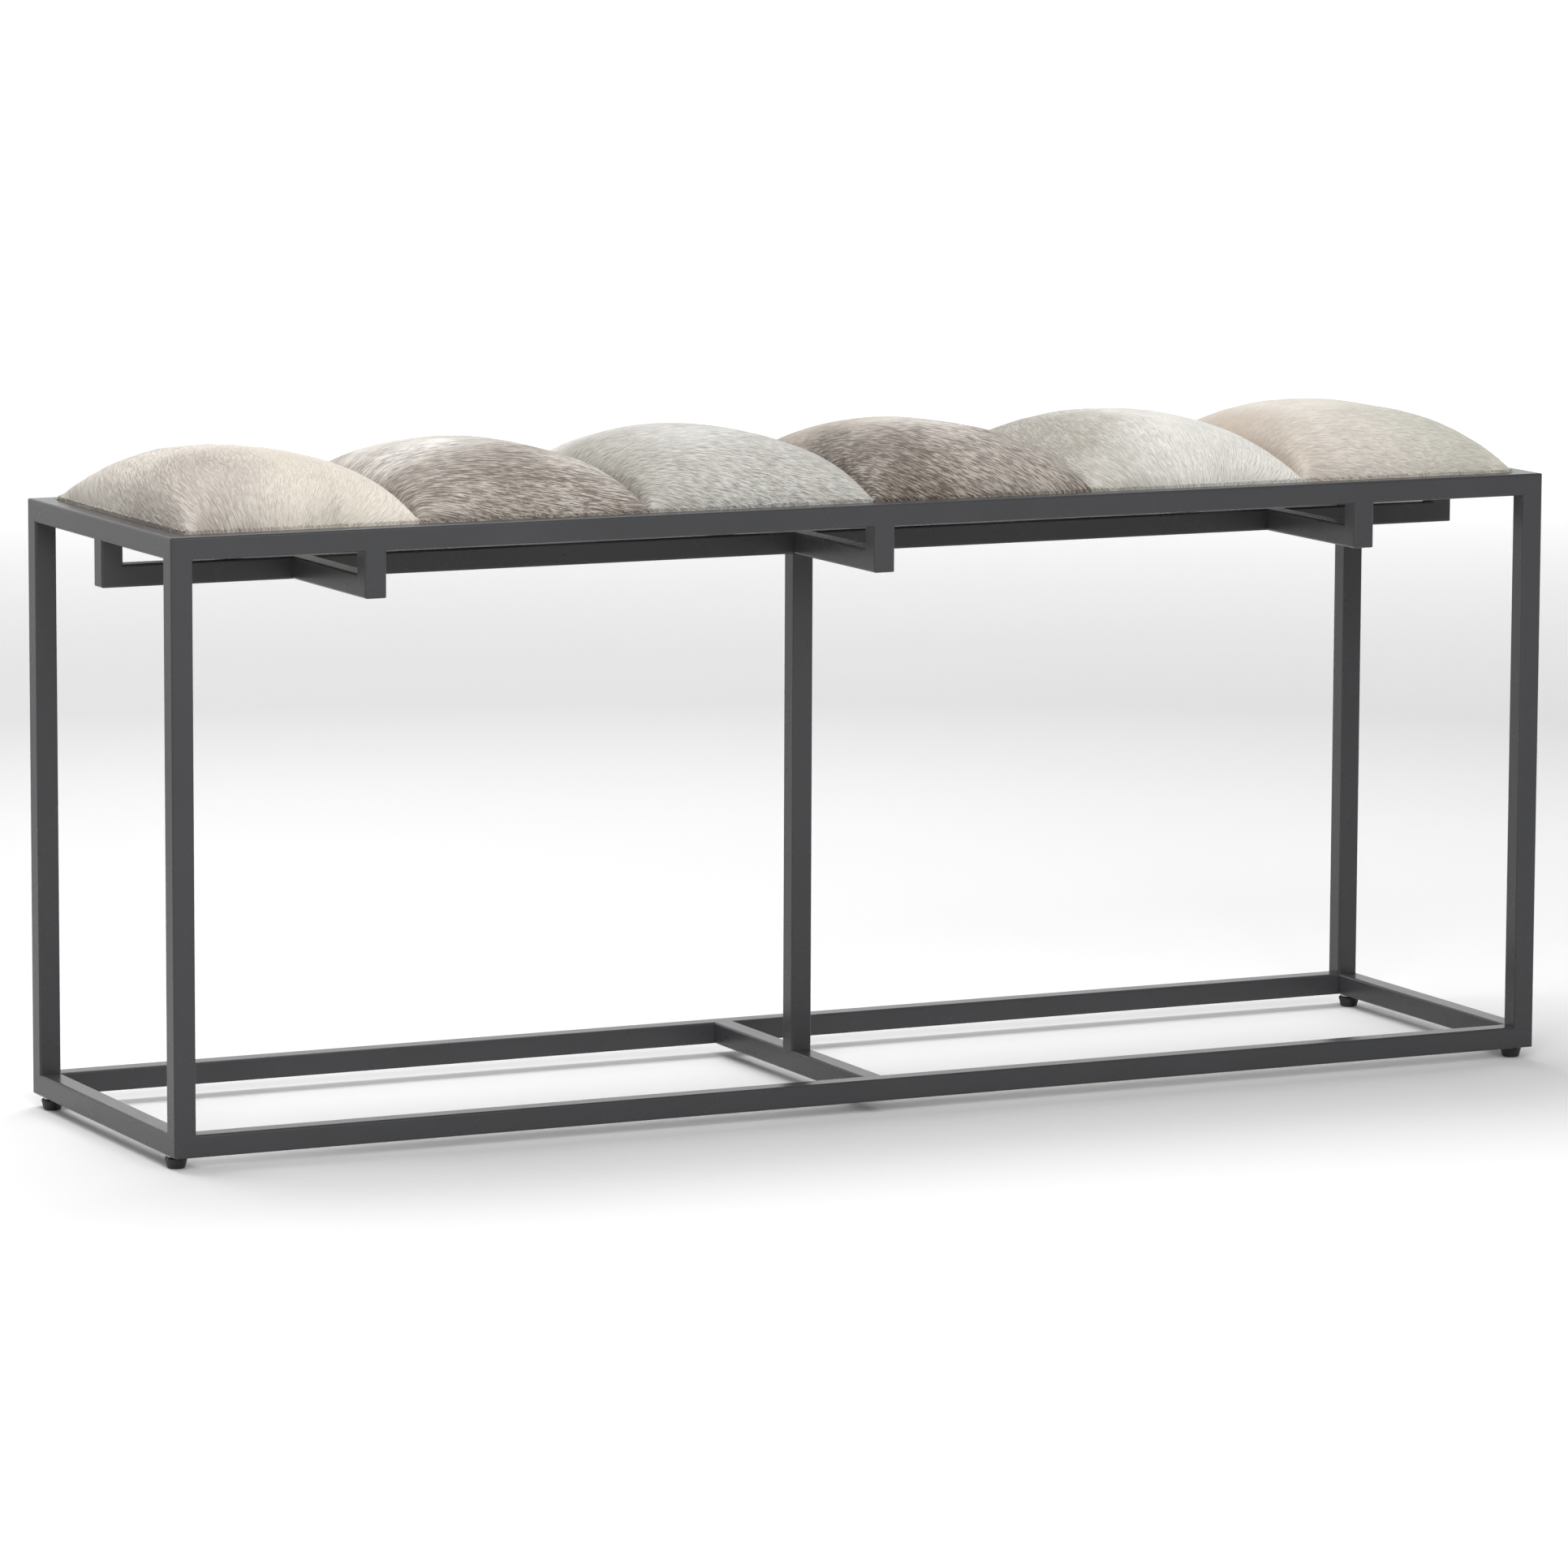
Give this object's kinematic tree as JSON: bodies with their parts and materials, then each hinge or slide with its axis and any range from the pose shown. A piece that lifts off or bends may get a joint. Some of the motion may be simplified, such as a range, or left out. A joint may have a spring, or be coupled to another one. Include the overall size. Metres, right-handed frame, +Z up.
{
  "type": "entryway bench",
  "caption": "Long low bench on a dark welded square-tube frame, its seat a row of domed pads covered in short-haired hide, on screw-out levelling feet.",
  "frame": {"origin": "on the floor, under the middle of the bench", "axes": "+X along the bench's length, to the right as seen from the front; +Y from front to rear; +Z up"},
  "size_m": [1.22, 0.316, 0.5495],
  "materials": {
    "steel": "satin dark graphite powder coat",
    "plywood": "birch plywood, its faces stained black",
    "foam": "open-cell polyurethane foam",
    "hide_1": "short-haired hide, cream with a grey-brown patch",
    "hide_2": "short-haired hide, taupe with dark streaks",
    "hide_3": "short-haired hide, silver grey",
    "hide_4": "short-haired hide, taupe brown",
    "hide_5": "short-haired hide, taupe grey to off-white",
    "hide_6": "short-haired hide, cream beige with greenish grey",
    "fasteners": "zinc plated",
    "glide": "moulded black nylon"
  },
  "bodies": {
    "frame": {"top_rail_front": "steel", "top_rail_rear": "steel", "top_rail_left": "steel", "top_rail_right": "steel", "leg_front_left": "steel", "leg_front_right": "steel", "leg_rear_left": "steel", "leg_rear_right": "steel", "bottom_rail_front": "steel", "bottom_rail_rear": "steel", "bottom_rail_left": "steel", "bottom_rail_right": "steel", "bottom_cross_bar": "steel", "centre_post": "steel", "cross_beam_left": "steel", "cross_beam_middle": "steel", "cross_beam_right": "steel", "drop_post_front_left": "steel", "drop_post_front_middle": "steel", "drop_post_front_right": "steel", "drop_post_rear_left": "steel", "drop_post_rear_middle": "steel", "drop_post_rear_right": "steel", "long_beam_outer_left": "steel", "long_beam_inner_left": "steel", "long_beam_inner_right": "steel", "long_beam_outer_right": "steel", "end_drop_post_left": "steel", "end_drop_post_right": "steel", "seat_ledge_front": "steel", "seat_ledge_rear": "steel", "pad_board_1": "plywood", "pad_board_2": "plywood", "pad_board_3": "plywood", "pad_board_4": "plywood", "pad_board_5": "plywood", "pad_board_6": "plywood", "pad_foam_1": "foam", "pad_foam_2": "foam", "pad_foam_3": "foam", "pad_foam_4": "foam", "pad_foam_5": "foam", "pad_foam_6": "foam", "pad_cover_1": "hide_1", "pad_cover_2": "hide_2", "pad_cover_3": "hide_3", "pad_cover_4": "hide_4", "pad_cover_5": "hide_5", "pad_cover_6": "hide_6", "seat_screws": "fasteners", "cover_staples": "fasteners", "foot_inserts": "fasteners"},
    "foot_front_left": {"foot_stud_front_left": "fasteners", "foot_glide_front_left": "glide"},
    "foot_front_right": {"foot_stud_front_right": "fasteners", "foot_glide_front_right": "glide"},
    "foot_rear_left": {"foot_stud_rear_left": "fasteners", "foot_glide_rear_left": "glide"},
    "foot_rear_right": {"foot_stud_rear_right": "fasteners", "foot_glide_rear_right": "glide"}
  },
  "joints": [
    {"name": "foot_front_left_height", "type": "slide", "parent": "frame", "child": "foot_front_left", "axis": [0, 0, -1], "range_m": [0, 0.008]},
    {"name": "foot_front_right_height", "type": "slide", "parent": "frame", "child": "foot_front_right", "axis": [0, 0, -1], "range_m": [0, 0.008]},
    {"name": "foot_rear_left_height", "type": "slide", "parent": "frame", "child": "foot_rear_left", "axis": [0, 0, -1], "range_m": [0, 0.008]},
    {"name": "foot_rear_right_height", "type": "slide", "parent": "frame", "child": "foot_rear_right", "axis": [0, 0, -1], "range_m": [0, 0.008]}
  ]
}
